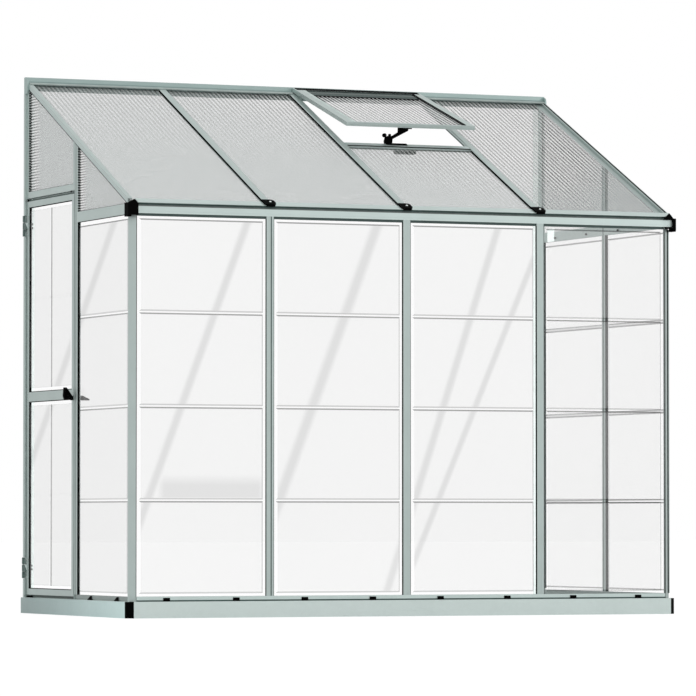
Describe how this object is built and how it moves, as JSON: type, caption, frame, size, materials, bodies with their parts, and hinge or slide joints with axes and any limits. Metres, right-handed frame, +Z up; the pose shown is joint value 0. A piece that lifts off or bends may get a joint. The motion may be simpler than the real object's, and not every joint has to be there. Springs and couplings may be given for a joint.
{
  "type": "lean-to greenhouse",
  "caption": "Lean-to greenhouse with an aluminium frame, clear wall panes, a twin-wall sloping roof with a propped vent, and a hinged end door.",
  "frame": {"origin": "on the ground, below the middle of the base", "axes": "+X along the house wall away from the door end, +Y towards the house wall, +Z up"},
  "size_m": [2.4458, 1.26, 2.2362],
  "materials": {
    "frame": "satin",
    "base": "satin",
    "black_plastic": "fine grain",
    "clear_pane": "clear",
    "twin_wall": "translucent"
  },
  "bodies": {
    "greenhouse": {"front_sill": "frame", "end_sills": "frame", "eave_beam": "frame", "corner_post_left": "frame", "corner_post_right": "frame", "front_post_1": "frame", "front_post_2": "frame", "front_post_3": "frame", "mid_post_left": "frame", "mid_post_right": "frame", "door_jamb": "frame", "wall_post_left": "frame", "wall_post_right": "frame", "eave_rail_left": "frame", "eave_rails_right": "frame", "door_header": "frame", "ridge_plate": "frame", "rafter_left": "frame", "rafter_right": "frame", "rafter_1": "frame", "rafter_2": "frame", "rafter_3": "frame", "vent_curb": "frame", "vent_frame": "frame", "post_hinges": "frame", "base_rail_front": "base", "base_rail_back": "base", "base_rail_left": "base", "base_rail_right": "base", "base_corners": "black_plastic", "head_channels": "frame", "vent_hinge": "black_plastic", "vent_stay": "black_plastic", "rafter_caps": "black_plastic", "eave_caps": "black_plastic", "front_pane_1": "clear_pane", "front_pane_2": "clear_pane", "front_pane_3": "clear_pane", "front_pane_4": "clear_pane", "end_pane_left": "clear_pane", "end_panes_right": "clear_pane", "gable_panes_left": "twin_wall", "gable_panes_right": "twin_wall", "roof_pane_1": "twin_wall", "roof_pane_2": "twin_wall", "roof_pane_3": "twin_wall", "roof_pane_4": "twin_wall", "vent_pane": "twin_wall"},
    "door": {"door_frame": "frame", "door_panes": "clear_pane", "door_hinges": "frame"},
    "handle": {"door_handle": "black_plastic"}
  },
  "joints": [
    {"name": "door_hinge", "type": "hinge", "parent": "greenhouse", "child": "door", "pos_m": [-1.202, 0.621, 0.9], "axis": [0, 0, -1], "range_deg": [0, 85]},
    {"name": "handle_turn", "type": "hinge", "parent": "door", "child": "handle", "pos_m": [-1.187, 0.049, 0.882], "axis": [1, 0, 0], "range_deg": [0, 90]}
  ]
}
